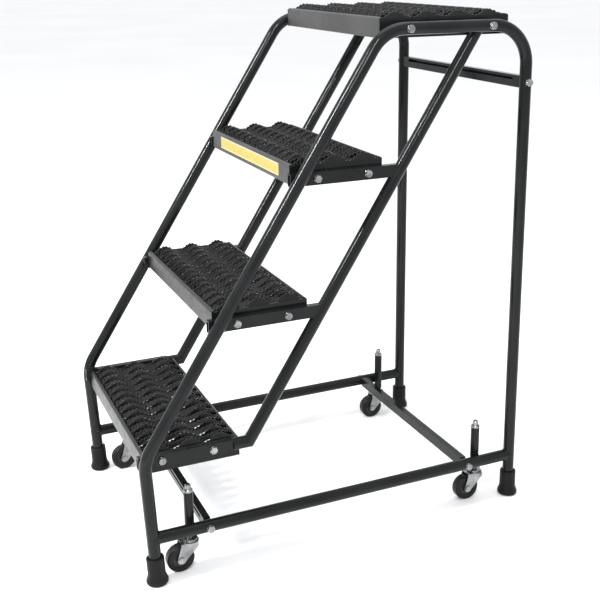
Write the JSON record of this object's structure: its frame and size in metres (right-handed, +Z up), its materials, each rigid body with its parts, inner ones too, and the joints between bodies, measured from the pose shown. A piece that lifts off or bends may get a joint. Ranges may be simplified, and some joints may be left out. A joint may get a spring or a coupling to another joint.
{
  "type": "library ladder",
  "caption": "Rolling step ladder of bent tube with serrated steel treads, spring-loaded swivel casters and rubber-tipped legs that take hold of the floor when stood on.",
  "frame": {"origin": "on the floor under the casters, below the middle of the footprint", "axes": "+Y the way a person climbs, from the lowest step towards the upright rear legs; +X the climber's right; +Z up"},
  "size_m": [0.4962, 0.773, 0.9652],
  "materials": {
    "frame_paint": "textured powder coat, charcoal grey",
    "tread_paint": "semi-gloss black enamel on serrated sheet steel",
    "zinc": "bright zinc plating",
    "tip_rubber": "matt moulded rubber",
    "tyre_rubber": "smooth soft rubber",
    "hub_plastic": "moulded black nylon",
    "label": "printed yellow film",
    "spring_steel": "oiled spring wire"
  },
  "bodies": {
    "frame": {"side_frame_right": "frame_paint", "side_frame_left": "frame_paint", "rear_stringer_right": "frame_paint", "rear_stringer_left": "frame_paint", "side_bar_right_1": "frame_paint", "side_bar_right_2": "frame_paint", "side_bar_right_3": "frame_paint", "side_bar_left_1": "frame_paint", "side_bar_left_2": "frame_paint", "side_bar_left_3": "frame_paint", "base_rail_right": "frame_paint", "base_rail_left": "frame_paint", "front_base_cross": "frame_paint", "rear_base_cross": "frame_paint", "upper_rear_cross": "frame_paint", "tread_1": "tread_paint", "tread_2": "tread_paint", "tread_3": "tread_paint", "tread_4": "tread_paint", "lower_end_plates": "frame_paint", "top_end_plates": "frame_paint", "tread_bolts": "zinc", "cross_bolts": "zinc", "tread_nuts": "zinc", "top_spacers": "zinc", "lip_label": "label", "tip_front_right": "tip_rubber", "tip_front_left": "tip_rubber", "tip_rear_right": "tip_rubber", "tip_rear_left": "tip_rubber", "socket_front_right": "frame_paint", "socket_front_left": "frame_paint", "socket_rear_right": "frame_paint", "socket_rear_left": "frame_paint", "socket_caps": "zinc", "spring_front_right": "spring_steel", "spring_front_left": "spring_steel", "spring_rear_right": "spring_steel", "spring_rear_left": "spring_steel"},
    "stem_body_front_right": {"stem_front_right": "zinc"},
    "caster_body_front_right": {"fork_front_right": "zinc", "axle_front_right": "zinc"},
    "wheel_body_front_right": {"tyre_front_right": "tyre_rubber", "hub_front_right": "hub_plastic"},
    "stem_body_front_left": {"stem_front_left": "zinc"},
    "caster_body_front_left": {"fork_front_left": "zinc", "axle_front_left": "zinc"},
    "wheel_body_front_left": {"tyre_front_left": "tyre_rubber", "hub_front_left": "hub_plastic"},
    "stem_body_rear_right": {"stem_rear_right": "zinc"},
    "caster_body_rear_right": {"fork_rear_right": "zinc", "axle_rear_right": "zinc"},
    "wheel_body_rear_right": {"tyre_rear_right": "tyre_rubber", "hub_rear_right": "hub_plastic"},
    "stem_body_rear_left": {"stem_rear_left": "zinc"},
    "caster_body_rear_left": {"fork_rear_left": "zinc", "axle_rear_left": "zinc"},
    "wheel_body_rear_left": {"tyre_rear_left": "tyre_rubber", "hub_rear_left": "hub_plastic"}
  },
  "joints": [
    {"name": "stem_slide_front_right", "type": "slide", "parent": "frame", "child": "stem_body_front_right", "axis": [0, 0, 1], "range_m": [0, 0.008], "stiffness_N_per_m": 4000, "springref_m": -0.0175, "deforming": ["spring_front_right"]},
    {"name": "swivel_front_right", "type": "hinge", "parent": "stem_body_front_right", "child": "caster_body_front_right", "pos_m": [0.20894, -0.29814, 0.055], "axis": [0, 0, 1], "continuous": true},
    {"name": "wheel_roll_front_right", "type": "hinge", "parent": "caster_body_front_right", "child": "wheel_body_front_right", "pos_m": [0.20894, -0.31814, 0.0254], "axis": [1, 0, 0], "continuous": true},
    {"name": "stem_slide_front_left", "type": "slide", "parent": "frame", "child": "stem_body_front_left", "axis": [0, 0, 1], "range_m": [0, 0.008], "stiffness_N_per_m": 4000, "springref_m": -0.0175, "deforming": ["spring_front_left"]},
    {"name": "swivel_front_left", "type": "hinge", "parent": "stem_body_front_left", "child": "caster_body_front_left", "pos_m": [-0.20894, -0.29814, 0.055], "axis": [0, 0, 1], "continuous": true},
    {"name": "wheel_roll_front_left", "type": "hinge", "parent": "caster_body_front_left", "child": "wheel_body_front_left", "pos_m": [-0.20894, -0.31814, 0.0254], "axis": [1, 0, 0], "continuous": true},
    {"name": "stem_slide_rear_right", "type": "slide", "parent": "frame", "child": "stem_body_rear_right", "axis": [0, 0, 1], "range_m": [0, 0.008], "stiffness_N_per_m": 4000, "springref_m": -0.0175, "deforming": ["spring_rear_right"]},
    {"name": "swivel_rear_right", "type": "hinge", "parent": "stem_body_rear_right", "child": "caster_body_rear_right", "pos_m": [0.20894, 0.29716, 0.055], "axis": [0, 0, 1], "continuous": true},
    {"name": "wheel_roll_rear_right", "type": "hinge", "parent": "caster_body_rear_right", "child": "wheel_body_rear_right", "pos_m": [0.20894, 0.27716, 0.0254], "axis": [1, 0, 0], "continuous": true},
    {"name": "stem_slide_rear_left", "type": "slide", "parent": "frame", "child": "stem_body_rear_left", "axis": [0, 0, 1], "range_m": [0, 0.008], "stiffness_N_per_m": 4000, "springref_m": -0.0175, "deforming": ["spring_rear_left"]},
    {"name": "swivel_rear_left", "type": "hinge", "parent": "stem_body_rear_left", "child": "caster_body_rear_left", "pos_m": [-0.20894, 0.29716, 0.055], "axis": [0, 0, 1], "continuous": true},
    {"name": "wheel_roll_rear_left", "type": "hinge", "parent": "caster_body_rear_left", "child": "wheel_body_rear_left", "pos_m": [-0.20894, 0.27716, 0.0254], "axis": [1, 0, 0], "continuous": true}
  ]
}
